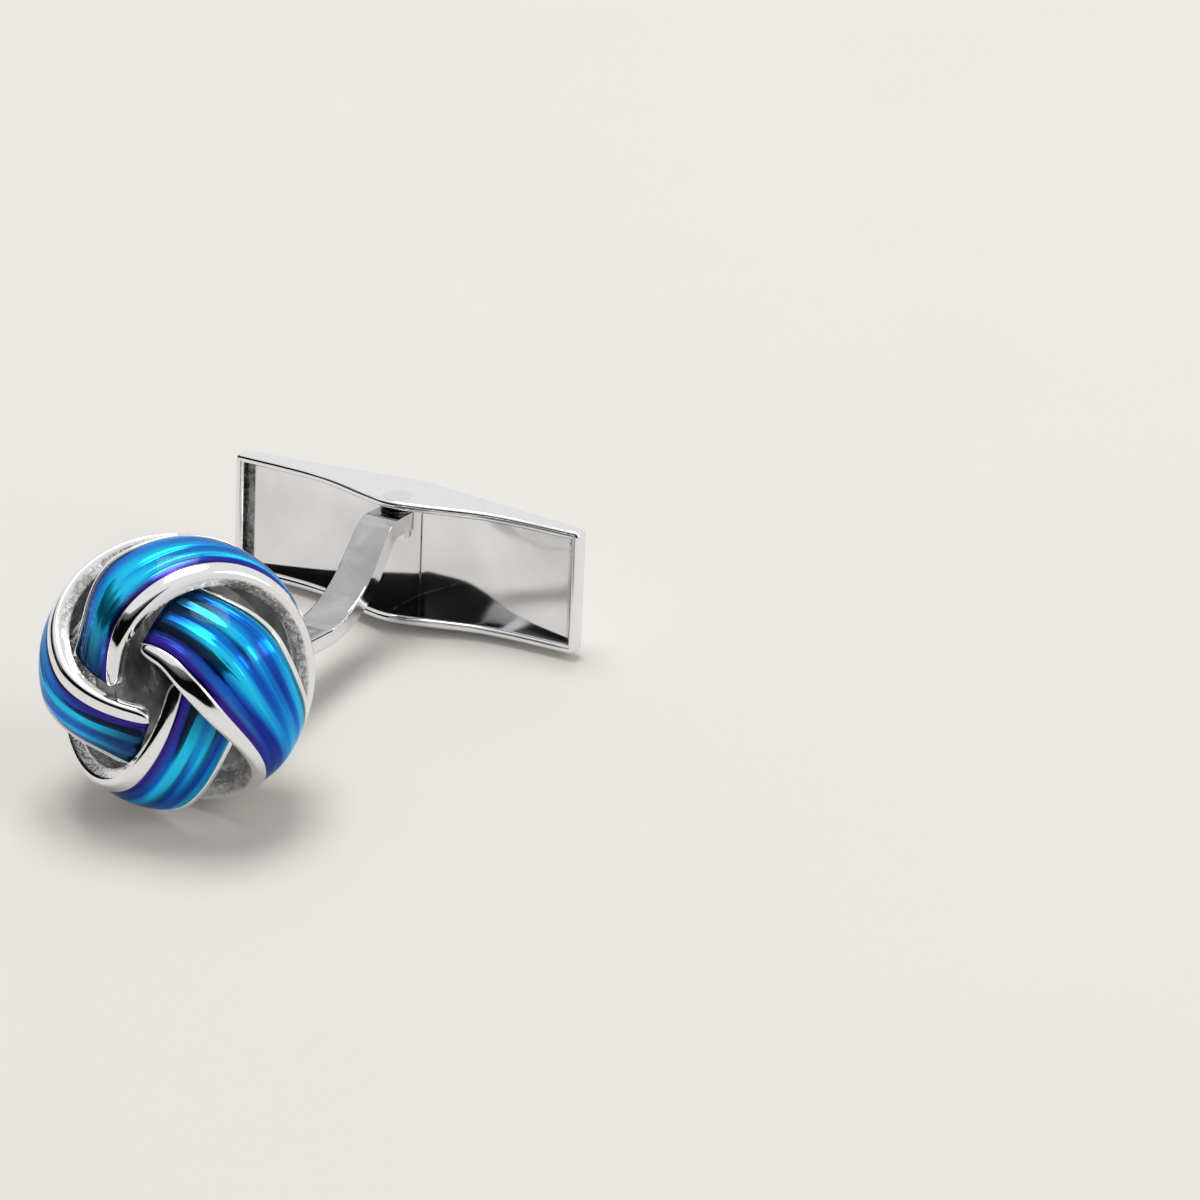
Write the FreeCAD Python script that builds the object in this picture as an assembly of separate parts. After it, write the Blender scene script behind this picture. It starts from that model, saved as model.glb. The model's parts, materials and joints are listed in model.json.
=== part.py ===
import FreeCAD, Part
import math
import os

# Knot cufflink with a swivel bar, lying on a table.
# Four cast bands are woven into a hollow ball, each a channel filled with enamel.
# A dished base inside the back of the ball carries a swan-neck arm.
# The hollow bar turns on a rivet in the arm's end, held by a spring washer.
# Lengths are in millimetres, angles in degrees.

# Ball of woven bands
ball_radius = 6.6
ball_flat_share = 0.78
band_axis_tilt = 47.0
weave_turn = -6.0
section_skew_angle = 27.0
start_skew_angle = 12.0
band_start_angle = -2.0
band_end_angle = 206.5
band_sections = 25
dive_from_angle = 46.0
dive_to_angle = 4.0
weave_gap = 0.1
knot_turn = 12.0
knot_lean_angle = 11.5

# Section of one band, widths as shares of the ball's radius and depths below its surface
thin_edge_angle = -4.0
thin_rim_share = 0.045
enamel_share = 0.43
thick_rim_share = 0.125
band_depth = 0.95
thin_rim_drop = 0.12
thick_rim_round = 0.16
floor_depth = 0.5
enamel_drop = 0.06
enamel_crown = 0.08
enamel_fit = 0.01
rim_strips = 3
dome_strips = 4
floor_strips = 2
underside_strips = 3

# Dished base at the back of the ball
base_wall = 0.6
base_fit = 0.07
base_rim_share = 0.88
base_strips = 2

# Swan-neck arm, a flat strap bent in two arcs
arm_width = 2.1
tab_width = 1.7
arm_taper_from = 6.0
arm_thickness = 0.9
arm_edge_round = 0.15
arm_drop = 1.75
arm_sweep_radius = 6.0
arm_rise_angle = 50.0
arm_neck_radius = 1.0
arm_neck_reach = 1.25
pivot_to_ball = 19.06

# Swivel bar, a folded open box
bar_length = 19.9
bar_width = 6.35
bar_wall = 0.45
bar_back = 0.4
bar_end_depth = 0.8
bar_fold_depth = 1.4
bar_point = 1.5
bar_point_to_pivot = 0.9
bar_corner_round = 0.3
bar_point_half_width = 1.5
bar_flank_share = 0.5
bar_flank_rise_share = 0.14
bar_point_drop_share = 0.2

# Rivet and spring washer
rivet_diameter = 0.9
rivet_head_diameter = 1.5
rivet_head_height = 0.1
rivet_tail_diameter = 1.5
rivet_tail_height = 0.35
rivet_clearance = 0.03
tab_gap = 0.25
washer_thickness = 0.12
washer_diameter = 1.65
washer_clearance = 0.02

# How far a cutting body runs past the face it cuts
overrun = 1.0

full_turn = 360.0
band_names = ["top", "right", "bottom", "left"]
bar_half_length = bar_length / 2
bar_half_width = bar_width / 2
bar_inner_half_width = bar_half_width - bar_wall
bar_end_front = bar_point - bar_point_to_pivot
bar_end_back = bar_end_front + bar_end_depth
bar_fold_back = bar_end_back + bar_fold_depth
tab_top = bar_inner_half_width - tab_gap
tab_middle = tab_top - arm_thickness / 2
dive_depth = band_depth + weave_gap
inside_radius = ball_radius - band_depth - base_fit
base_rim_radius = inside_radius * base_rim_share
base_back = inside_radius * ball_flat_share
base_rim_height = -ball_flat_share * math.sqrt(inside_radius ** 2 - base_rim_radius ** 2)
dish_depth = base_back + base_rim_height
dish_radius = (base_rim_radius ** 2 + dish_depth ** 2) / (2 * dish_depth)


def vec(x, y, z):
    return FreeCAD.Vector(x, y, z)


def line(start, end):
    return Part.LineSegment(start, end).toShape()


def arc(start, middle, end):
    return Part.Arc(start, middle, end).toShape()


def angle_along_ball(length):
    return math.degrees(length / ball_radius)


# Place of the knot: its axis points away from the bar, a little turned and leaned on the arm.
knot_rotation = FreeCAD.Rotation(vec(1, 0, 0), full_turn / 4 - knot_lean_angle)
knot_rotation = knot_rotation.multiply(FreeCAD.Rotation(vec(0, 1, 0), knot_turn))
knot_place = FreeCAD.Placement(vec(0, -pivot_to_ball, 0), knot_rotation)

# Latitudes of the band's edges about the band's own axis
floor_thin = thin_edge_angle + math.degrees(thin_rim_share)
floor_thick = floor_thin + math.degrees(enamel_share)
thick_edge = floor_thick + math.degrees(thick_rim_share)


def eased(share):
    share = min(max(share, 0.0), 1.0)
    return share * share * (3 - 2 * share)


def skew_turn(up, skew_angle):
    return math.asin(math.tan(up) * math.tan(math.radians(skew_angle)))


def band_point(index, turn, latitude, depth):
    # A band is a zone of the ball about a tilted axis; sections lie in skewed planes through the centre.
    # Each band starts under the one before it, cut squarer there, and rises to the ball's surface.
    azimuth = math.radians(weave_turn - index * full_turn / len(band_names))
    tilt = math.radians(band_axis_tilt)
    up = math.radians(latitude)
    start_share = eased((dive_from_angle - turn) / (dive_from_angle - band_start_angle))
    skew_angle = section_skew_angle + (start_skew_angle - section_skew_angle) * start_share
    round_axis = math.radians(turn) - skew_turn(up, skew_angle)
    dive_turn = math.degrees(round_axis + skew_turn(up, section_skew_angle))
    dive_share = eased((dive_from_angle - dive_turn) / (dive_from_angle - dive_to_angle))
    radius = ball_radius - depth - dive_depth * dive_share
    out = radius * math.cos(up) * math.cos(round_axis)
    side = radius * math.cos(up) * math.sin(round_axis)
    axial = radius * math.sin(up)
    flat = axial * math.sin(tilt) - out * math.cos(tilt)
    high = axial * math.cos(tilt) + out * math.sin(tilt)
    x = flat * math.cos(azimuth) - side * math.sin(azimuth)
    y = flat * math.sin(azimuth) + side * math.cos(azimuth)
    return vec(x, y, high * ball_flat_share)


def across(start, end, strips, depth_at):
    # Places from one latitude to another; depth_at takes -1 at the start and 1 at the end.
    places = []
    for step in range(strips + 1):
        share = step / strips
        places.append((start + (end - start) * share, depth_at(2 * share - 1)))
    return places


def band_section():
    # A channel between a thin and a thick rim; the thick rim's top is rounded.
    return ([(thin_edge_angle, thin_rim_drop), (floor_thin, thin_rim_drop)]
            + across(floor_thin, floor_thick, floor_strips, lambda side: floor_depth)
            + across(floor_thick, thick_edge, rim_strips, lambda side: thick_rim_round * side * side)
            + across(thick_edge, thin_edge_angle, underside_strips, lambda side: band_depth))


def enamel_section():
    # Fills the channel up to just below the rims, with a domed top.
    low = floor_thin + angle_along_ball(enamel_fit)
    high = floor_thick - angle_along_ball(enamel_fit)
    crown = thin_rim_drop - enamel_crown
    dome = enamel_crown + enamel_drop
    return (across(low, high, floor_strips, lambda side: floor_depth - enamel_fit)
            + across(high, low, dome_strips, lambda side: crown + dome * side * side))


def along_band(index, section):
    wires = []
    for step in range(band_sections):
        turn = band_start_angle + (band_end_angle - band_start_angle) * step / (band_sections - 1)
        points = [band_point(index, turn, *place) for place in section]
        wires.append(Part.makePolygon(points + points[:1]))
    solid = Part.makeLoft(wires, True, False)
    solid.Placement = knot_place
    return solid


def dish_arc(inset):
    # Places (radius, height) from the rim to the middle of a dish that touches the bands at both.
    radius = dish_radius - inset
    centre = dish_radius - base_back
    rim_angle = math.acos((centre - base_rim_height) / radius)
    angles = [rim_angle * (1 - step / base_strips) for step in range(base_strips + 1)]
    return [(radius * math.sin(angle), centre - radius * math.cos(angle)) for angle in angles]


def round_in_knot(profile):
    points = [vec(radius, 0, height) for radius, height in profile]
    solid = Part.Face(Part.makePolygon(points + points[:1])).revolve(vec(0, 0, 0), vec(0, 0, 1), full_turn)
    solid.Placement = knot_place
    return solid


def knot_base():
    return round_in_knot(dish_arc(0) + list(reversed(dish_arc(base_wall))))


def strap_face(side):
    # One face of the strap seen from the side, from the foot to the tab's end.
    rise = math.radians(arm_rise_angle)
    offset = side * arm_thickness / 2
    bend_share = 1 - math.cos(rise)
    neck_foot_y = -arm_neck_reach - arm_neck_radius * math.sin(rise)
    climb = tab_middle + arm_drop - (arm_sweep_radius + arm_neck_radius) * bend_share
    sweep_y = neck_foot_y - climb / math.tan(rise) - arm_sweep_radius * math.sin(rise)

    def on_sweep(angle):
        radius = arm_sweep_radius - offset
        height = arm_sweep_radius - arm_drop
        return vec(0, sweep_y + radius * math.sin(angle), height - radius * math.cos(angle))

    def on_neck(angle):
        radius = arm_neck_radius + offset
        height = tab_middle - arm_neck_radius
        return vec(0, -arm_neck_reach - radius * math.sin(angle), height + radius * math.cos(angle))

    foot = vec(0, -pivot_to_ball, offset - arm_drop)
    tab = vec(0, tab_width / 2, tab_middle + offset)
    edges = [line(foot, on_sweep(0)),
             arc(on_sweep(0), on_sweep(rise / 2), on_sweep(rise)),
             line(on_sweep(rise), on_neck(rise)),
             arc(on_neck(rise), on_neck(rise / 2), on_neck(0)),
             line(on_neck(0), tab)]
    return edges, foot, tab


def swan_neck_arm():
    upper, upper_foot, upper_tab = strap_face(1)
    lower, lower_foot, lower_tab = strap_face(-1)
    outline = upper + lower + [line(upper_tab, lower_tab), line(lower_foot, upper_foot)]
    side_face = Part.Face(Part.Wire(Part.__sortEdges__(outline)))
    strap = side_face.extrude(vec(arm_width, 0, 0))
    strap.translate(vec(-arm_width / 2, 0, 0))
    long_edges = [edge for edge in strap.Edges if edge.BoundBox.XLength < arm_width / 2]
    strap = strap.makeFillet(arm_edge_round, long_edges)
    plan = [(arm_width, -pivot_to_ball), (arm_width, -arm_taper_from), (tab_width, 0)]
    plan = [vec(width / 2, y, -bar_width) for width, y in plan]
    plan += [vec(-point.x, point.y, point.z) for point in reversed(plan)]
    blank = Part.Face(Part.makePolygon(plan + plan[:1])).extrude(vec(0, 0, 2 * bar_width))
    blank = blank.fuse(Part.makeCylinder(tab_width / 2, 2 * bar_width, vec(0, 0, -bar_width)))
    hole = Part.makeCylinder(rivet_diameter / 2 + rivet_clearance, 2 * bar_width, vec(0, 0, -bar_width))
    dish_room = round_in_knot(dish_arc(0) + [(0, overrun), (base_rim_radius, overrun)])
    return strap.common(blank).cut(hole).cut(dish_room)


def bar_outline():
    # Plan of the bar: front drawn to a point with hollow flanks, back folded to a shallow V.
    edges = []
    for side in (-1, 1):
        end = vec(side * bar_half_length, bar_end_front, 0)
        back = vec(side * bar_half_length, bar_end_back, 0)
        flank_y = bar_end_front - bar_point * bar_flank_rise_share
        flank = vec(side * bar_half_length * bar_flank_share, flank_y, 0)
        shoulder = vec(side * bar_point_half_width, bar_point * bar_point_drop_share - bar_point_to_pivot, 0)
        curve = Part.BSplineCurve()
        curve.interpolate([end, flank, shoulder, vec(0, -bar_point_to_pivot, 0)])
        edges += [curve.toShape(), line(end, back), line(back, vec(0, bar_fold_back, 0))]
    return Part.Wire(Part.__sortEdges__(edges))


def bar_cavity():
    inner = bar_half_length - bar_wall
    ahead = -bar_point_to_pivot - overrun
    floor_fold = bar_fold_back - bar_back
    floor_end = floor_fold - bar_fold_depth * inner / bar_half_length
    plan = [(-inner, ahead), (inner, ahead), (inner, floor_end), (0, floor_fold), (-inner, floor_end)]
    points = [vec(x, y, -bar_inner_half_width) for x, y in plan]
    face = Part.Face(Part.makePolygon(points + points[:1]))
    return face.extrude(vec(0, 0, 2 * bar_inner_half_width))


def bar_shell():
    solid = Part.Face(bar_outline()).extrude(vec(0, 0, bar_width))
    solid.translate(vec(0, 0, -bar_half_width))
    corners = [edge for edge in solid.Edges
               if edge.BoundBox.ZLength > bar_half_width
               and edge.BoundBox.YMin > (bar_end_front + bar_end_back) / 2
               and abs(edge.CenterOfMass.x) > bar_half_length / 2]
    solid = solid.makeFillet(bar_corner_round, corners).cut(bar_cavity())
    hole_foot = vec(0, 0, bar_inner_half_width - overrun)
    hole = Part.makeCylinder(rivet_diameter / 2, bar_wall + 2 * overrun, hole_foot)
    return solid.cut(hole)


def pivot_rivet():
    # Shank through the bar's wall, domed head outside and broad tail under the arm's tab.
    tail_top = tab_top - arm_thickness - rivet_clearance
    shank = Part.makeCylinder(rivet_diameter / 2, bar_half_width - tail_top, vec(0, 0, tail_top))
    tail_foot = vec(0, 0, tail_top - rivet_tail_height)
    tail = Part.makeCylinder(rivet_tail_diameter / 2, rivet_tail_height, tail_foot)
    head_half = rivet_head_diameter / 2
    dome_radius = (head_half * head_half + rivet_head_height * rivet_head_height) / (2 * rivet_head_height)
    dome = Part.makeSphere(dome_radius, vec(0, 0, bar_half_width + rivet_head_height - dome_radius))
    cap = Part.makeCylinder(head_half, rivet_head_height, vec(0, 0, bar_half_width))
    return shank.fuse(tail).fuse(cap.common(dome)).removeSplitter()


def spring_washer():
    # A dished disc that presses the arm's tab away from the bar's wall.
    inner = rivet_diameter / 2 + rivet_clearance
    outer = washer_diameter / 2
    rim = tab_top + washer_clearance
    crest = bar_inner_half_width - washer_clearance - washer_thickness
    points = [vec(inner, 0, crest), vec(outer, 0, rim), vec(outer, 0, rim + washer_thickness),
              vec(inner, 0, crest + washer_thickness), vec(inner, 0, crest)]
    return Part.Face(Part.makePolygon(points)).revolve(vec(0, 0, 0), vec(0, 0, 1), full_turn)


def lying_tilt():
    # The ball's lowest point and the bar's lower back edge touch the table together.
    reach = pivot_to_ball + bar_fold_back
    span = math.hypot(reach, bar_half_width)
    return math.degrees(math.asin(ball_radius / span) - math.atan2(bar_half_width, reach))


parts = {}
for index, name in enumerate(band_names):
    parts[name + "_band"] = along_band(index, band_section())
    parts[name + "_enamel"] = along_band(index, enamel_section())
parts["knot_base"] = knot_base()
parts["swan_neck_arm"] = swan_neck_arm()
parts["bar_shell"] = bar_shell()
parts["pivot_rivet"] = pivot_rivet()
parts["spring_washer"] = spring_washer()

# Laid on the table: tilted until ball and bar both touch, middle of the outline over the origin
box = FreeCAD.BoundBox()
for shape in parts.values():
    shape.rotate(vec(0, 0, 0), vec(1, 0, 0), -lying_tilt())
    box.add(shape.optimalBoundingBox(True))
for shape in parts.values():
    shape.translate(vec(0, -box.Center.y, -box.ZMin))

os.makedirs("parts", exist_ok=True)
for name, shape in parts.items():
    shape.Solids[0].exportStep("parts/" + name + ".step")
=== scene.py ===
import json
import math

import bmesh
import bpy
from mathutils import Matrix, Vector


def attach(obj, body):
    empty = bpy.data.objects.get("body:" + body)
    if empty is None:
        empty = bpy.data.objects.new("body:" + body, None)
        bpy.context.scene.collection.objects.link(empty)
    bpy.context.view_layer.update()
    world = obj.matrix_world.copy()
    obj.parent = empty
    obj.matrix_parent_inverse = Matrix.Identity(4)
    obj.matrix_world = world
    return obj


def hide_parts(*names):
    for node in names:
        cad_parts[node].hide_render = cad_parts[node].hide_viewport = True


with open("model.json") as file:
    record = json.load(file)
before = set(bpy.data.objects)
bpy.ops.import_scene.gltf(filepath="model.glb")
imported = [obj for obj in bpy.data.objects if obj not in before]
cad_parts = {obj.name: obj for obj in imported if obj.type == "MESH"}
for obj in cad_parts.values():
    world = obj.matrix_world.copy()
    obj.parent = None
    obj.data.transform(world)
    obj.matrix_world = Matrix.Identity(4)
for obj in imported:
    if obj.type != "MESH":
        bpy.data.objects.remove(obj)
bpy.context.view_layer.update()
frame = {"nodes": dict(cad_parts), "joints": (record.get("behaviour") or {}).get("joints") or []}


# Knot base: a dished plate of cast brass, plated, soldered into the back of the ball to carry the bands
# and the arm. It lies deep in the knot; its skin is left dull and streaky from the file, and its colour is
# painted near black in the middle as painted shade, paling towards the rim.
# Here and below, lengths are in millimetres, angles in degrees and noise scales per metre.
millimetre = 0.001
quarter = 90.0
knot_turn = 12.0
knot_lean = 11.5
pivot_to_ball = 19.06
base_back = 4.352
dark_radius = 2.2
pale_radius = 4.2
streak_stretch = (1.0, 1.0, 0.2)
streak_scale = 1500.0
streak_detail = 3.0
streak_bend = 0.4
streak_height = 0.06
base_roughness = (0.14, 0.36)
plate_blue = 0.01


def feed(tree, value, socket):
    # value is another node's output or a constant.
    if isinstance(value, bpy.types.NodeSocket):
        tree.links.new(value, socket)
    else:
        socket.default_value = value


def add(tree, kind, inputs=None, **settings):
    node = tree.nodes.new(kind)
    for name, value in settings.items():
        setattr(node, name, value)
    for name, value in (inputs or {}).items():
        feed(tree, value, node.inputs[name])
    return node


def surface_place(tree):
    return add(tree, "ShaderNodeTexCoord").outputs["Object"]


def maths(tree, operation, *values):
    return add(tree, "ShaderNodeMath", dict(enumerate(values)), operation=operation).outputs[0]


def rescale(tree, value, start, end, first=0.0, last=1.0):
    limits = {"Value": value, "From Min": start, "From Max": end, "To Min": first, "To Max": last}
    return add(tree, "ShaderNodeMapRange", limits).outputs[0]


def noise(tree, place, scale, detail, **more):
    inputs = {"Vector": place, "Scale": scale, "Detail": detail, **more}
    return add(tree, "ShaderNodeTexNoise", inputs).outputs["Fac"]


def bump(tree, height, distance, **more):
    return add(tree, "ShaderNodeBump", {"Height": height, "Distance": distance, **more}).outputs[0]


def blend(tree, factor, first, second, kind="RGBA"):
    node = add(tree, "ShaderNodeMix", {0: factor}, data_type=kind)
    first_socket, result = {"FLOAT": (2, 0), "VECTOR": (4, 1), "RGBA": (6, 2)}[kind]
    feed(tree, first, node.inputs[first_socket])
    feed(tree, second, node.inputs[first_socket + 1])
    return node.outputs[result]


def ramp(tree, factor, stops):
    node = add(tree, "ShaderNodeValToRGB", {"Fac": factor})
    while len(node.color_ramp.elements) < len(stops):
        node.color_ramp.elements.new(1.0)
    for element, (place, colour) in zip(node.color_ramp.elements, stops):
        element.position = place
        element.color = colour
    return node.outputs["Color"]


def grey(tone):
    return (tone, tone, tone, 1.0)


def plated(tone):
    # Plated metal is a touch blue.
    return (tone, tone, tone + plate_blue, 1.0)


def new_material(name, **fixed):
    # fixed gives the shader's values that are the same all over the surface.
    material = bpy.data.materials.new(name)
    material.use_nodes = True
    tree = material.node_tree
    shader = tree.nodes["Principled BSDF"]
    for label, value in fixed.items():
        shader.inputs[label.replace("_", " ")].default_value = value
    return material, tree, shader


def dress(piece, material):
    piece.data.materials.clear()
    piece.data.materials.append(material)


# lying places what is measured from the pivot, with the rivet upright, as the cufflink lies on the table.
swivel = frame["joints"][0]
lying_tilt = math.asin(swivel["axis"][1])
lying = Matrix.Translation(swivel["pos_m"]) @ Matrix.Rotation(-lying_tilt, 4, "X")
lying = lying @ Matrix.Scale(millimetre, 4)
knot_place = lying @ Matrix.Translation((0, -pivot_to_ball, 0))
knot_place = knot_place @ Matrix.Rotation(math.radians(quarter - knot_lean), 4, "X")
knot_place = knot_place @ Matrix.Rotation(math.radians(knot_turn), 4, "Y")

base = frame["nodes"]["knot_base"]
base_middle = base.matrix_world.inverted() @ knot_place @ Vector((0, 0, -base_back))
base_finish, tree, shader = new_material("cast_plate_painted_shade", Metallic=1.0)
place = surface_place(tree)
from_middle = add(tree, "ShaderNodeVectorMath", {0: place, 1: base_middle}, operation="DISTANCE")
outward = rescale(tree, from_middle.outputs["Value"], dark_radius * millimetre, pale_radius * millimetre)
drawn = add(tree, "ShaderNodeVectorMath", {0: place, 1: streak_stretch}, operation="MULTIPLY")
streak = noise(tree, drawn.outputs[0], streak_scale, streak_detail, Distortion=streak_bend)
# Painted shade: the colour is near black in the middle of the plate, deep in the knot, and pales outwards.
shaded_middle_tones = [(0.35, grey(0.03)), (0.55, grey(0.12)), (0.72, grey(0.4))]
outer_tones = [(0.3, grey(0.45)), (0.55, plated(0.66)), (0.75, plated(0.82))]
tone = blend(tree, outward, ramp(tree, streak, shaded_middle_tones), ramp(tree, streak, outer_tones))
tree.links.new(tone, shader.inputs["Base Color"])
tree.links.new(rescale(tree, streak, 0.0, 1.0, *base_roughness), shader.inputs["Roughness"])
tree.links.new(bump(tree, streak, streak_height * millimetre), shader.inputs["Normal"])
dress(base, base_finish)


# Woven bands: four cast brass channels, plated bright, each passing under one neighbour and over
# the next. No two are shaped quite alike. The rims are polished by hand, while the underside and
# the walls at the back of the knot keep the grain of the casting.
band_names = ("top", "right", "bottom", "left")
ball_radius = 6.6
ball_flat_share = 0.78
band_axis_tilt = 47.0
weave_turn = -6.0
section_skew = 27.0
start_skew = 12.0
skew_settles_turn = 46.0
band_turns = (-2.0, 206.5)
band_steps = 150
dive_depth = 1.05
dive_turns = ((4.0, 46.0), (5.0, 51.0), (15.0, 75.0), (8.0, 60.0))
start_flares = (0.5, 1.8, 1.0, 0.7)
flare_end_turns = (120.0, 80.0, 118.0, 125.0)
rim_bows = (0.0, 1.2, 0.0, 0.0)
bow_turns = (0.0, 75.0, 150.0)
thin_edge = -4.0
thin_rim_width = 0.297
enamel_width = 2.838
thick_rim_width = 0.825
band_depth = 0.95
floor_depth = 0.5
floor_thin = thin_rim_width
floor_thick = floor_thin + enamel_width
thin_rim_drop = 0.12
thick_rim_drop = 0.04
thick_rim_slope = 0.03
thin_rim_round = 0.1
thick_rim_round = 0.42
thick_rim_inner_round = 0.1
channel_round = 0.05
underside_round = 0.12
round_steps = 6
thin_wall_points = 1
thick_rim_points = 2
floor_points = 10
underside_points = 14
tip_turn = 14.0
tip_share = 0.2
tip_sink = 0.25
band_sharp_angle = 40.0
back_shares = (0.35, 0.5)
back_wall_depths = (0.3, 0.5)
underside_depths = (0.65, 0.85)
band_wave = 0.012
band_wave_scale = 500.0
band_grain_height = 0.06


def smooth(value, start, end):
    share = min(max((value - start) / (end - start), 0.0), 1.0)
    return share * share * (3 - 2 * share)


def skew_turn(up, skew):
    return math.asin(math.tan(up) * math.tan(math.radians(skew)))


def widened(index, turn, across):
    # Only the channel is widened, towards the thin edge at the start and under the thick rim's bow.
    share = min(max((across - floor_thin) / enamel_width, 0.0), 1.0)
    flare = start_flares[index] * (1 - smooth(turn, 0.0, flare_end_turns[index]))
    rise, crown, fall = bow_turns
    bow = rim_bows[index] * smooth(turn, rise, crown) * (1 - smooth(turn, crown, fall))
    return across + bow * share - flare * (1 - share)


def band_point(index, turn, across, depth):
    # across is measured along the ball from the band's thin edge, before the channel is widened.
    azimuth = math.radians(weave_turn - index * quarter)
    tilt = math.radians(band_axis_tilt)
    up = math.radians(thin_edge) + widened(index, turn, across) / ball_radius
    skew = start_skew + (section_skew - start_skew) * smooth(turn, band_turns[0], skew_settles_turn)
    turned = math.radians(turn) - skew_turn(up, skew)
    dive_turn = math.degrees(turned + skew_turn(up, section_skew))
    radius = ball_radius - depth - dive_depth * (1 - smooth(dive_turn, *dive_turns[index]))
    out = radius * math.cos(up) * math.cos(turned)
    side = radius * math.cos(up) * math.sin(turned)
    axial = radius * math.sin(up)
    flat = axial * math.sin(tilt) - out * math.cos(tilt)
    high = axial * math.cos(tilt) + out * math.sin(tilt)
    x = flat * math.cos(azimuth) - side * math.sin(azimuth)
    y = flat * math.sin(azimuth) + side * math.cos(azimuth)
    return knot_place @ Vector((x, y, high * ball_flat_share))


def rounded(corners):
    # A corner is (across, depth, rounding, points on the run that follows, for the ball's curve).
    outline = []
    for before, corner, after in zip(corners[-1:] + corners, corners, corners[1:] + corners[:1]):
        rounding, run = corner[2:]
        here, last, following = [Vector(point[:2]) for point in (corner, before, after)]
        start = here + (last - here).normalized() * rounding
        end = here + (following - here).normalized() * rounding
        for step in range(round_steps + 1):
            share = step / round_steps
            outline.append(start.lerp(here, share).lerp(here.lerp(end, share), share))
        run_end = following + (here - following).normalized() * after[2]
        outline += [end.lerp(run_end, step / (run + 1)) for step in range(1, run + 1)]
    return outline


def round_end(turn, length):
    # Rises from 0 to 1 along a quarter of a circle.
    share = min((turn - band_turns[0]) / length, 1.0)
    return math.sqrt(1 - (1 - share) ** 2)


def band_outline(turn):
    # The thick rim runs out to a rounded tip where the band comes up out of the weave.
    tip = tip_share + (1 - tip_share) * round_end(turn, tip_turn)
    edge = floor_thick + thick_rim_width * tip
    crest = thick_rim_drop + tip_sink * (1 - tip)
    return rounded([(0, band_depth, underside_round, thin_wall_points),
                    (0, thin_rim_drop, thin_rim_round, 0),
                    (floor_thin, thin_rim_drop, channel_round, 0),
                    (floor_thin, floor_depth, channel_round, floor_points),
                    (floor_thick, floor_depth, channel_round, 0),
                    (floor_thick, crest + thick_rim_slope, thick_rim_inner_round, thick_rim_points),
                    (edge, crest, thick_rim_round * tip, thick_rim_points),
                    (edge, band_depth, underside_round, underside_points)])


def finished_mesh(name, form, sharp_angle):
    mesh = bpy.data.meshes.new(name)
    form.to_mesh(mesh)
    form.free()
    mesh.shade_smooth()
    mesh.set_sharp_from_angle(angle=math.radians(sharp_angle))
    return mesh


def paint(mesh, label, values):
    mesh.attributes.new(label, "FLOAT", "POINT").data.foreach_set("value", values)


def new_piece(name, data):
    piece = bpy.data.objects.new(name, data)
    bpy.context.scene.collection.objects.link(piece)
    return piece


def loft(name, index, outline_at, masks):
    # outline_at gives the section at a turn. A mask gives a value for (along, across, depth) to paint on.
    form = bmesh.new()
    rows, facts = [], []
    for step in range(band_steps + 1):
        along = step / band_steps
        turn = band_turns[0] + (band_turns[1] - band_turns[0]) * along
        outline = outline_at(turn)
        rows.append([form.verts.new(band_point(index, turn, *point)) for point in outline])
        facts += [(along, *point) for point in outline]
    for row, following in zip(rows, rows[1:]):
        for number in range(len(row)):
            form.faces.new((row[number - 1], row[number], following[number], following[number - 1]))
    form.faces.new(rows[0])
    form.faces.new(rows[-1])
    bmesh.ops.recalc_face_normals(form, faces=form.faces)
    mesh = finished_mesh(name, form, band_sharp_angle)
    for label, mask in masks.items():
        paint(mesh, label, [mask(*fact) for fact in facts])
    return new_piece(name, mesh)


skin_sockets = {"Colour": "NodeSocketColor", "Roughness": "NodeSocketFloat", "Normal": "NodeSocketVector"}
skin_kinds = {"Colour": "RGBA", "Roughness": "FLOAT", "Normal": "VECTOR"}
skin_uses = {"Colour": "Base Color", "Roughness": "Roughness", "Normal": "Normal"}
noise_span = (0.3, 0.7)
grain_scale = 4200.0
patch_scale = 900.0
grain_detail = 3.0
grain_breaks = 0.6
pit_heights = (0.75, 1.2)
grain_roughness = (0.15, 0.32)
wave_detail = 1.5
smear_detail = 4.0
smear_bend = 0.6


def new_skin(name, **inputs):
    # A skin puts out a colour, a roughness and a normal, which change over the surface.
    group = bpy.data.node_groups.new(name, "ShaderNodeTree")
    for label, value in inputs.items():
        kind = "NodeSocketColor" if isinstance(value, tuple) else "NodeSocketFloat"
        socket = group.interface.new_socket(label.replace("_", " "), in_out="INPUT", socket_type=kind)
        socket.default_value = value
    for label, kind in skin_sockets.items():
        group.interface.new_socket(label, in_out="OUTPUT", socket_type=kind)
    return group, add(group, "NodeGroupInput").outputs, add(group, "NodeGroupOutput").inputs


def cast_skin_group():
    # Grains up to a quarter of a millimetre across, darker in the pits.
    group, given, out = new_skin("cast_skin", Pale=plated(0.62), Dark=grey(0.1), Depth=0.00003)
    place = surface_place(group)
    grain = noise(group, place, grain_scale, grain_detail, Roughness=grain_breaks)
    height = maths(group, "ADD", grain, noise(group, place, patch_scale, grain_detail))
    tone = blend(group, rescale(group, height, *pit_heights), given["Dark"], given["Pale"])
    group.links.new(tone, out["Colour"])
    group.links.new(rescale(group, grain, *noise_span, *grain_roughness), out["Roughness"])
    group.links.new(bump(group, height, given["Depth"]), out["Normal"])
    return group


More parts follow.
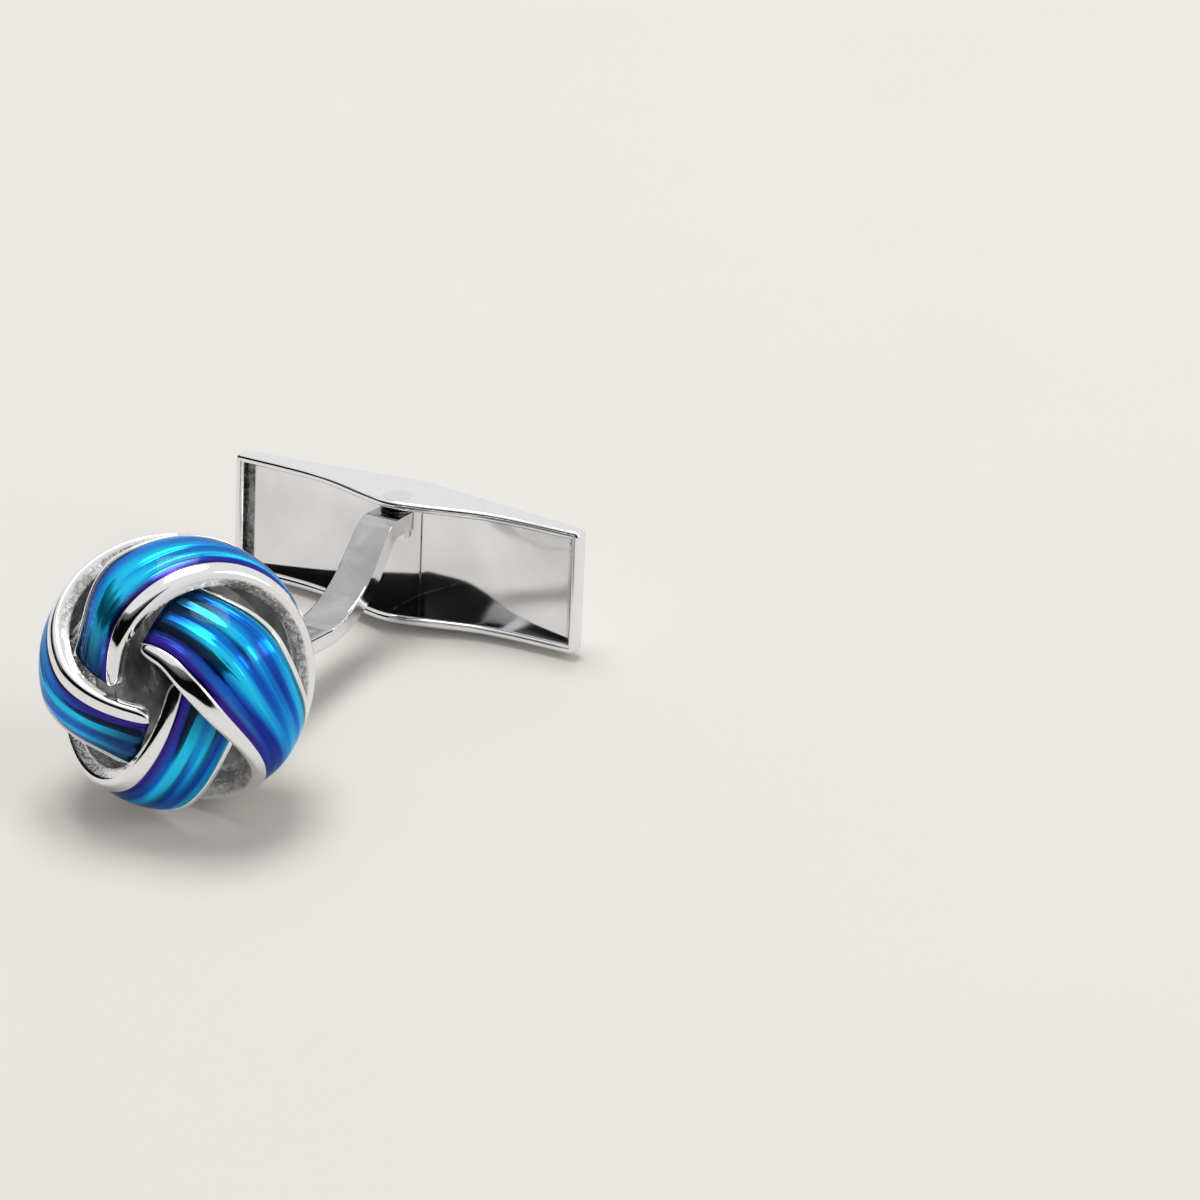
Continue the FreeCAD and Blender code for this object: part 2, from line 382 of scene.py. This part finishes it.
def polished_skin_group():
    # Hand-polished plate: slow waves that bend reflections, and faint smears in the gloss.
    group, given, out = new_skin("polished_skin", Wave=0.00001, Wave_Scale=400.0, Gloss=0.05, Smear=0.06,
                                 Smear_Scale=1500.0, Pale=plated(0.87), Dark=plated(0.845))
    place = surface_place(group)
    wave = noise(group, place, given["Wave Scale"], wave_detail)
    smear = noise(group, place, given["Smear Scale"], smear_detail, Distortion=smear_bend)
    tone = blend(group, rescale(group, smear, *noise_span), given["Dark"], given["Pale"])
    group.links.new(tone, out["Colour"])
    group.links.new(maths(group, "MULTIPLY_ADD", smear, given["Smear"], given["Gloss"]), out["Roughness"])
    group.links.new(bump(group, wave, given["Wave"]), out["Normal"])
    return group


def use_skin(tree, skin, **inputs):
    node = add(tree, "ShaderNodeGroup", node_tree=skin)
    for label, value in inputs.items():
        node.inputs[label.replace("_", " ")].default_value = value
    return node.outputs


def blend_skins(tree, share, first, second):
    return {label: blend(tree, share, first[label], second[label], kind)
            for label, kind in skin_kinds.items()}


def put_on_skin(tree, shader, skin):
    for label, socket in skin_uses.items():
        tree.links.new(skin[label], shader.inputs[socket])


def painted(tree, label):
    return add(tree, "ShaderNodeAttribute", attribute_name=label).outputs["Fac"]


def cast_share(along, across, depth):
    back_wall = smooth(along, *back_shares) * smooth(depth, *back_wall_depths)
    return max(smooth(depth, *underside_depths), back_wall)


cast_skin = cast_skin_group()
polished_skin = polished_skin_group()
band_finish, tree, shader = new_material("plated_band", Metallic=1.0)
bright = use_skin(tree, polished_skin, Wave=band_wave * millimetre, Wave_Scale=band_wave_scale)
grain_and_shade = use_skin(tree, cast_skin, Pale=plated(0.85), Dark=grey(0.3), Depth=band_grain_height * millimetre)
put_on_skin(tree, shader, blend_skins(tree, painted(tree, "inside"), bright, grain_and_shade))

for index, name in enumerate(band_names):
    band = loft(name + "_band_woven", index, band_outline, {"inside": cast_share})
    dress(band, band_finish)
    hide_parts(name + "_band")
    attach(band, "head")


# Enamel: clear blue vitreous enamel fired into each channel and domed by its own surface tension.
# Lengthwise ribs in the metal under it show through as stripes: the ribs are bumps, and their bright and dark
# reflections are painted into the colour as painted reflection.
# It looks deepest beside the thick rim and palest where it thins out at the other edge.
enamel_fit = 0.01
enamel_drop = 0.06
enamel_crown = 0.05
enamel_foot = 0.06
enamel_start_sink = 0.2
enamel_start_turn = 5.0
enamel_top_steps = 28
enamel_foot_steps = 12
stripe_shifts = (5.2, 12.1, 11.7, 15.4)
rib_repeats = (4.5, 2.4)
rib_detail = 0.0
rib_height = 0.22
line_repeats = (26.0, 3.5)
line_detail = 1.5
line_height = 0.006
line_share = 0.18
enamel_roughness = (0.14, 0.24)
deep_blue = (0.002, 0.024, 0.3, 1.0)
middle_blue = (0.002, 0.13, 0.6, 1.0)
light_blue = (0.004, 0.36, 0.82, 1.0)
pale_blue = (0.015, 0.58, 0.93, 1.0)
shaded_blue = (0.002, 0.03, 0.12, 1.0)
violet = (0.03, 0.012, 0.24, 1.0)
sea_green = (0.04, 0.42, 0.55, 1.0)
# Painted reflection of the ribs: deep blue for their dark reflections, pale blue for their bright ones.
painted_rib_reflections = [(0.15, deep_blue), (0.45, middle_blue), (0.75, light_blue), (1.0, pale_blue)]
thick_side_mask = [(0.8, grey(0.0)), (0.93, grey(1.0))]
thin_side_mask = [(0.0, grey(1.0)), (0.035, grey(1.0)), (0.07, grey(0.0))]
# Painted shade: where each enamel comes up out of the weave, under its neighbour, its colour fades to near
# black.
start_shade_mask = [(0.0, grey(1.0)), (0.06, grey(0.8)), (0.17, grey(0.0))]


def enamel_outline(turn):
    low = floor_thin + enamel_fit
    high = floor_thick - enamel_fit
    edge_depth = thin_rim_drop + enamel_drop
    crown_depth = thin_rim_drop - enamel_crown
    sink = enamel_start_sink * (1 - round_end(turn, enamel_start_turn))
    outline = []
    for step in range(enamel_top_steps + 1):
        share = step / enamel_top_steps
        depth = crown_depth + (edge_depth - crown_depth) * (2 * share - 1) ** 2 + sink
        outline.append(Vector((low + (high - low) * share, depth)))
    under = floor_depth - enamel_fit
    foot_high, foot_low = high - enamel_foot, low + enamel_foot
    for step in range(enamel_foot_steps + 1):
        outline.append(Vector((foot_high + (foot_low - foot_high) * step / enamel_foot_steps, under)))
    return outline


enamel_finish, tree, shader = new_material("blue_enamel", Metallic=0.9, Specular_Tint=(0.3, 0.6, 1.0, 1.0),
                                           Coat_Weight=0.24, Coat_Roughness=0.02, Coat_IOR=1.45)
across = painted(tree, "across")
along = painted(tree, "along")
shift = painted(tree, "shift")


def lengthwise_noise(repeats, detail):
    wide = maths(tree, "MULTIPLY", across, repeats[0])
    long = maths(tree, "MULTIPLY", along, repeats[1])
    place = add(tree, "ShaderNodeCombineXYZ", {"X": wide, "Y": long, "Z": shift}).outputs[0]
    return rescale(tree, noise(tree, place, 1.0, detail), *noise_span)


ribs = lengthwise_noise(rib_repeats, rib_detail)
lines = lengthwise_noise(line_repeats, line_detail)
# Painted reflection: the ribs' bright and dark stripes are painted into the colour.
stripes = ramp(tree, maths(tree, "MULTIPLY_ADD", lines, line_share, ribs), painted_rib_reflections)
# Painted shade at the start of each enamel, under the neighbouring band.
stripes = blend(tree, ramp(tree, along, start_shade_mask), stripes, shaded_blue)
stripes = blend(tree, ramp(tree, across, thick_side_mask), stripes, violet)
stripes = blend(tree, ramp(tree, across, thin_side_mask), stripes, sea_green)
tree.links.new(stripes, shader.inputs["Base Color"])
tree.links.new(rescale(tree, lines, 0.0, 1.0, *enamel_roughness), shader.inputs["Roughness"])
ribbed = bump(tree, ribs, rib_height * millimetre)
tree.links.new(bump(tree, lines, line_height * millimetre, Normal=ribbed), shader.inputs["Normal"])

for index, name in enumerate(band_names):
    masks = {"along": lambda along, across, depth: along,
             "across": lambda along, across, depth: (across - floor_thin) / enamel_width,
             "shift": lambda along, across, depth: stripe_shifts[index]}
    fill = loft(name + "_enamel_fill", index, enamel_outline, masks)
    fill.visible_diffuse = False
    fill.visible_glossy = False
    dress(fill, enamel_finish)
    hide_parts(name + "_enamel")
    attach(fill, "head")


# Swan-neck arm: a flat brass strap, bent, plated and polished by hand, soldered to the base.
# Its broad faces are a little wavy and painted darker than its bright narrow sides, as painted reflection.
arm_wave = 0.12
arm_wave_scale = 380.0
arm_gloss = 0.06
arm_smear_scale = 500.0
narrow_side_shares = (0.5, 0.9)
arm_finish, tree, shader = new_material("polished_arm", Metallic=1.0)
bright = use_skin(tree, polished_skin, Wave=arm_wave * millimetre, Wave_Scale=arm_wave_scale, Gloss=arm_gloss)
# Painted reflection: the broad faces get a darker copy of the polished colour, picked by the way each face
# points.
shaded_broad_faces = use_skin(tree, polished_skin, Smear_Scale=arm_smear_scale, Pale=plated(0.58), Dark=plated(0.36))
facing = add(tree, "ShaderNodeTexCoord").outputs["Normal"]
sideways = maths(tree, "ABSOLUTE", add(tree, "ShaderNodeSeparateXYZ", {0: facing}).outputs["X"])
narrow = rescale(tree, sideways, *narrow_side_shares)
tree.links.new(blend(tree, narrow, shaded_broad_faces["Colour"], bright["Colour"]), shader.inputs["Base Color"])
tree.links.new(bright["Roughness"], shader.inputs["Roughness"])
tree.links.new(bright["Normal"], shader.inputs["Normal"])
dress(frame["nodes"]["swan_neck_arm"], arm_finish)


# Swivel bar: a hollow cast bar, open to the front, with a point in the middle of each long wall.
# Plated and polished, the rims rounded by hand. The inside panels keep a softer shine. The end walls, the
# corners beside them and the fold are painted near black over a grain, as painted shade and painted
# reflection of the end walls.
bar_half_length = 9.95
bar_half_width = 3.175
bar_wall = 0.45
bar_back = 0.4
bar_point = 1.5
bar_point_to_pivot = 0.9
bar_point_half_width = 1.5
bar_point_drop_share = 0.2
bar_flank_share = 0.5
bar_flank_rise_share = 0.14
bar_end_front = bar_point - bar_point_to_pivot
bar_end_back = 1.4
bar_fold_back = 2.8
bar_inner_length = bar_half_length - bar_wall
bar_inner_width = bar_half_width - bar_wall
bar_stations = 24
bar_corner_round = 0.3
bar_corner_segments = 4
bar_rim_round = 0.2
bar_rim_segments = 6
bar_round_profile = 0.5
bar_sharp_angle = 35.0
rim_to_inside = 0.2
inside_slack = 0.02
end_wall_reach = 0.1
# Painted reflection and shade: how far the near-black strips reach beside the left and right end walls.
shade_strip_reaches = (0.5, 0.14)
shade_strip_fade = 0.08
fold_line_half = 0.02
fold_line_fade = 0.07
bar_wave = 0.008
bar_wave_scale = 300.0
bar_gloss = 0.09
bar_smear = 0.04
panel_wave = 0.03
panel_wave_scale = 220.0
panel_gloss = 0.05
panel_smear = 0.08
panel_smear_scale = 170.0
bar_grain_height = 0.03


def bar_front(x):
    # A smooth curve through the point, its shoulder, the hollow flank and the end, flat at the point.
    x = abs(x)
    point = (0.0, -bar_point_to_pivot)
    shoulder = (bar_point_half_width, bar_point * bar_point_drop_share - bar_point_to_pivot)
    flank = (bar_half_length * bar_flank_share, bar_end_front - bar_point * bar_flank_rise_share)
    end = (bar_half_length, bar_end_front)
    mirrored = (-shoulder[0], shoulder[1])
    beyond = (2 * end[0] - flank[0], 2 * end[1] - flank[1])
    if x < shoulder[0]:
        places = mirrored, point, shoulder, flank
    elif x < flank[0]:
        places = point, shoulder, flank, end
    else:
        places = shoulder, flank, end, beyond
    (x0, y0), (x1, y1), (x2, y2), (x3, y3) = places
    share = (x - x1) / (x2 - x1)
    rise = y2 - y1
    slope1 = (y2 - y0) / (x2 - x0) * (x2 - x1)
    slope2 = (y3 - y1) / (x3 - x1) * (x2 - x1)
    bend = 3 * rise - 2 * slope1 - slope2
    return y1 + share * (slope1 + share * (bend + share * (slope1 + slope2 - 2 * rise)))


def bar_mesh():
    # Stations run from end to end, levels from the lower wall's outside to the upper wall's outside.
    form = bmesh.new()
    half = [bar_inner_length * step / bar_stations for step in range(1, bar_stations + 1)] + [bar_half_length]
    stations = [-x for x in reversed(half)] + [0.0] + half
    levels = (-bar_half_width, -bar_inner_width, bar_inner_width, bar_half_width)
    last = len(stations) - 1

    def vert(x, y, z):
        return form.verts.new(lying @ Vector((x, y, z)))

    def outer_back(x):
        return bar_fold_back - (bar_fold_back - bar_end_back) * abs(x) / bar_half_length

    front = [[vert(x, bar_front(x), z) for z in levels] for x in stations]
    back = [[vert(x, outer_back(x), z) for z in (levels[0], levels[3])] for x in stations]
    floor = [[vert(x, outer_back(x) - bar_back, z) for z in levels[1:3]] for x in stations[1:-1]]
    quads = []
    for i in range(last):
        rim_rows = range(3) if i in (0, last - 1) else (0, 2)
        quads += [(front[i][j], front[i + 1][j], front[i + 1][j + 1], front[i][j + 1]) for j in rim_rows]
        quads.append((front[i][0], back[i][0], back[i + 1][0], front[i + 1][0]))
        quads.append((front[i][3], front[i + 1][3], back[i + 1][1], back[i][1]))
        quads.append((back[i][0], back[i][1], back[i + 1][1], back[i + 1][0]))
    for i in range(1, last - 1):
        quads.append((front[i][1], front[i + 1][1], floor[i][0], floor[i - 1][0]))
        quads.append((front[i][2], floor[i - 1][1], floor[i][1], front[i + 1][2]))
        quads.append((floor[i - 1][0], floor[i][0], floor[i][1], floor[i - 1][1]))
    for i, row in ((1, floor[0]), (last - 1, floor[-1])):
        quads.append((front[i][1], front[i][2], row[1], row[0]))
    for i in (0, last):
        quads.append((front[i][0], front[i][1], front[i][2], front[i][3], back[i][1], back[i][0]))
    for quad in quads:
        form.faces.new(quad)
    bmesh.ops.recalc_face_normals(form, faces=form.faces)
    corners = [form.edges.get(ends) for i in (0, last)
               for ends in ((front[i][0], back[i][0]), (front[i][3], back[i][1]))]
    bmesh.ops.bevel(form, geom=corners, offset=bar_corner_round * millimetre, segments=bar_corner_segments,
                    profile=bar_round_profile, affect="EDGES")
    sharp = math.radians(bar_sharp_angle)
    rims = [edge for edge in form.edges if edge.is_convex and edge.calc_face_angle(0) > sharp]
    bmesh.ops.bevel(form, geom=rims, offset=bar_rim_round * millimetre, segments=bar_rim_segments,
                    profile=bar_round_profile, affect="EDGES", clamp_overlap=True, loop_slide=True)
    return finished_mesh("bar_shell_polished", form, bar_sharp_angle)


def inside_bar(point):
    x, y, z = lying.inverted() @ point
    between_ends = abs(x) < bar_inner_length + inside_slack
    between_walls = abs(z) < bar_inner_width + inside_slack
    return float(between_ends and between_walls and y > bar_front(x) + rim_to_inside)


def end_wall(point):
    x = (lying.inverted() @ point).x
    return inside_bar(point) * float(abs(x) > bar_inner_length - end_wall_reach)


bar = new_piece("bar_shell_polished", bar_mesh())
bar.modifiers.new("flat_walls", "WEIGHTED_NORMAL").keep_sharp = True
for label, mask in (("inside", inside_bar), ("end_wall", end_wall)):
    paint(bar.data, label, [mask(vertex.co) for vertex in bar.data.vertices])
bar_finish, tree, shader = new_material("polished_bar", Metallic=1.0)
bright = use_skin(tree, polished_skin, Wave=bar_wave * millimetre, Wave_Scale=bar_wave_scale, Gloss=bar_gloss,
                  Smear=bar_smear)
soft = use_skin(tree, polished_skin, Wave=panel_wave * millimetre, Wave_Scale=panel_wave_scale,
                Gloss=panel_gloss, Smear=panel_smear, Smear_Scale=panel_smear_scale,
                Pale=plated(0.93), Dark=plated(0.72))
# Painted shade: a near-black grain for the end walls, the corners beside them and the fold.
grain_and_shade = use_skin(tree, cast_skin, Pale=grey(0.3), Dark=grey(0.03), Depth=bar_grain_height * millimetre)
inside = painted(tree, "inside")
along = add(tree, "ShaderNodeSeparateXYZ", {0: surface_place(tree)}).outputs["X"]
# Painted shade along the fold, and painted reflection of the end walls in strips of the panels beside them.
painted_shade_strips = rescale(tree, maths(tree, "ABSOLUTE", along), fold_line_half * millimetre,
                     fold_line_fade * millimetre, 1.0, 0.0)
for corner, reach in zip((-bar_inner_length, bar_inner_length), shade_strip_reaches):
    gap = maths(tree, "ABSOLUTE", maths(tree, "SUBTRACT", along, corner * millimetre))
    strip = rescale(tree, gap, (reach - shade_strip_fade) * millimetre, reach * millimetre, 1.0, 0.0)
    painted_shade_strips = maths(tree, "MAXIMUM", painted_shade_strips, strip)
painted_shade_strips = maths(tree, "MULTIPLY", painted_shade_strips, inside)
# Painted shade on the end walls themselves.
painted_shade_share = maths(tree, "MAXIMUM", painted(tree, "end_wall"), painted_shade_strips)
put_on_skin(tree, shader, blend_skins(tree, painted_shade_share, blend_skins(tree, inside, bright, soft), grain_and_shade))
dress(bar, bar_finish)
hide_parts("bar_shell")
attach(bar, "bar")


# Pivot rivet: a turned brass rivet through the bar's upper wall, the washer and the arm's tab.
# Its head stands a little proud of the wall, peened by hand, plated and less bright than the bar.
rivet_wave = 0.01
rivet_gloss = 0.1
rivet_smear = 0.14
rivet_finish, tree, shader = new_material("peened_rivet", Metallic=1.0)
put_on_skin(tree, shader, use_skin(tree, polished_skin, Wave=rivet_wave * millimetre, Gloss=rivet_gloss,
                                   Smear=rivet_smear, Pale=plated(0.84), Dark=plated(0.74)))
dress(frame["nodes"]["pivot_rivet"], rivet_finish)


# Spring washer: a dished disc of hard steel strip, blanked and left plain, squeezed between wall and arm.
# It keeps the bar from flopping and shows only as a thin grey line under the wall. Its grain is the plain
# steel's, and its near-black colour is painted shade.
washer_grain_height = 0.004
washer_finish, tree, shader = new_material("spring_steel_painted_shade", Metallic=1.0)
# Painted shade: the washer's colour is near black, as under the wall.
put_on_skin(tree, shader, use_skin(tree, cast_skin, Pale=plated(0.2), Dark=grey(0.06),
                                   Depth=washer_grain_height * millimetre))
dress(frame["nodes"]["spring_washer"], washer_finish)


# Table and studio: a plain, pale, matt table in a pale room, under two soft boxes. Dark cards in front
# and on the left show only in reflections, as black accents in the metal.
# The sizes of the studio are in metres, the lamps' power in watts.
table_colour = (0.84, 0.815, 0.775)
table_half = 3.0
mottle_scale = 60.0
mottle_detail = 2.0
mottle_share = 0.985
card_half_height = 0.4
front_card = ((-0.1, -0.6, 0.4), 0.8, (0, 1, 0))
left_card = ((-0.7, -0.2, 0.1), 0.3, (1, 0, 0))
room_tone = 0.86
room_light = 0.5
overhead_box = ("overhead_box", (-0.08, 0.12, 0.6), 0.3, 2.0)
right_box = ("right_box", (0.5, 0.05, 0.3), 0.25, 0.6)


def faced(centre, direction, axis):
    # A place at centre, with the given axis turned to the direction.
    return Matrix.Translation(centre) @ Vector(direction).to_track_quat(axis, "Y").to_matrix().to_4x4()


def plane(name, centre, half_x, half_y, facing):
    mesh = bpy.data.meshes.new(name)
    mesh.from_pydata([(-half_x, -half_y, 0), (half_x, -half_y, 0), (half_x, half_y, 0), (-half_x, half_y, 0)],
                     [], [(0, 1, 2, 3)])
    piece = new_piece(name, mesh)
    piece.matrix_world = faced(centre, facing, "Z")
    return piece


table = plane("table", (0, 0, 0), table_half, table_half, (0, 0, 1))
table_finish, tree, shader = new_material("pale_table", Roughness=0.9, Specular_IOR_Level=0.1)
mottle = noise(tree, surface_place(tree), mottle_scale, mottle_detail)
mottled = [(0.0, (*[mottle_share * part for part in table_colour], 1.0)), (1.0, (*table_colour, 1.0))]
tree.links.new(ramp(tree, mottle, mottled), shader.inputs["Base Color"])
dress(table, table_finish)

card_finish, tree, shader = new_material("dark_card", Roughness=0.8, Specular_IOR_Level=0.0)
height = add(tree, "ShaderNodeSeparateXYZ", {0: surface_place(tree)}).outputs["Y"]
share = rescale(tree, height, -card_half_height, card_half_height)
card_tones = [(0.0, grey(0.004)), (0.6, grey(0.004)), (0.75, grey(0.2)), (1.0, grey(0.45))]
tree.links.new(ramp(tree, share, card_tones), shader.inputs["Base Color"])
for number, (centre, half_length, facing) in enumerate((front_card, left_card)):
    card = plane(f"dark_card_{number}", centre, half_length, card_half_height, facing)
    dress(card, card_finish)
    card.visible_camera = False
    card.visible_shadow = False
    card.visible_diffuse = False

world = bpy.data.worlds.new("pale_room")
bpy.context.scene.world = world
world.use_nodes = True
tree = world.node_tree
seen = add(tree, "ShaderNodeLightPath").outputs
shows = maths(tree, "MAXIMUM", seen["Is Camera Ray"], seen["Is Glossy Ray"])
shows = maths(tree, "MAXIMUM", shows, seen["Is Transmission Ray"])
backdrop = tree.nodes["Background"]
backdrop.inputs["Color"].default_value = grey(room_tone)
tree.links.new(rescale(tree, shows, 0.0, 1.0, room_light, 1.0), backdrop.inputs["Strength"])

for name, centre, size, power in (overhead_box, right_box):
    lamp = bpy.data.lights.new(name, "AREA")
    lamp.shape = "SQUARE"
    lamp.size = size
    lamp.energy = power
    new_piece(name, lamp).matrix_world = faced(centre, -Vector(centre), "-Z")


# Camera: a long lens on a stand, looking down on the cufflink from the front right.
# Its place is measured from the bar's pivot, in metres.
camera_from_pivot = (0.12058, -0.181518, 0.114755)
camera_turn = (61.589, 2.1025, 29.8396)
camera_data = bpy.data.cameras.new("camera")
camera_data.lens = 150.0
camera_data.sensor_width = 36.0
camera_data.clip_start = 0.005
camera = new_piece("camera", camera_data)
camera.location = Vector(swivel["pos_m"]) + Vector(camera_from_pivot)
camera.rotation_euler = [math.radians(angle) for angle in camera_turn]
bpy.context.scene.camera = camera
bpy.context.scene.view_settings.view_transform = "Standard"

bpy.context.view_layer.update()
